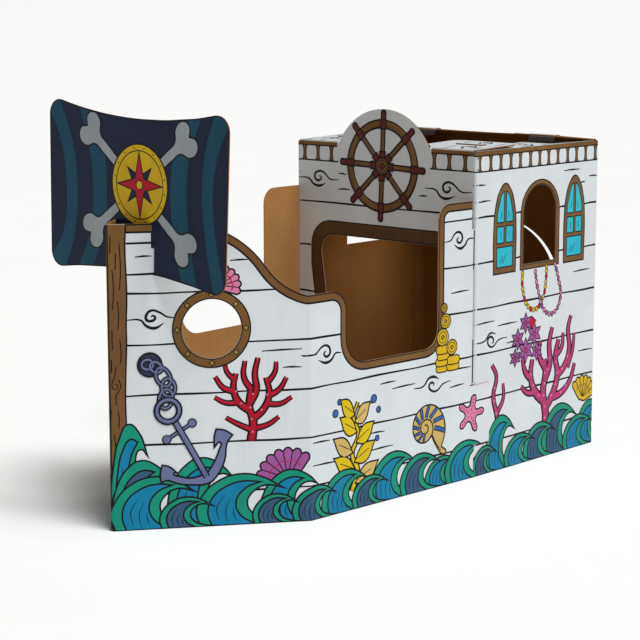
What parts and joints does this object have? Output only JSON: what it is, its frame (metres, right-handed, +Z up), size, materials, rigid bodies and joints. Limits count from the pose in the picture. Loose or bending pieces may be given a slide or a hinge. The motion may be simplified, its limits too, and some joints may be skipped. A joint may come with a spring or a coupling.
{
  "type": "cardboard pirate ship",
  "caption": "Child-size play ship of folded, printed board: pointed hull with side entries and portholes, a walk-in castle with roof flaps, and a flag slotted across the bow.",
  "frame": {"origin": "on the floor, under the middle of the ship's length and width", "axes": "+X towards the stern, -X towards the bow, -Y the port side, +Z up"},
  "size_m": [1.9579, 0.8205, 1.2883],
  "materials": {
    "printed_board": "white-lined corrugated board, printed outside and bare kraft inside",
    "flag_board": "corrugated board printed navy and teal in front, bare kraft behind"
  },
  "bodies": {
    "root": {"hull": "printed_board", "castle": "printed_board", "flag": "flag_board"}
  },
  "joints": []
}
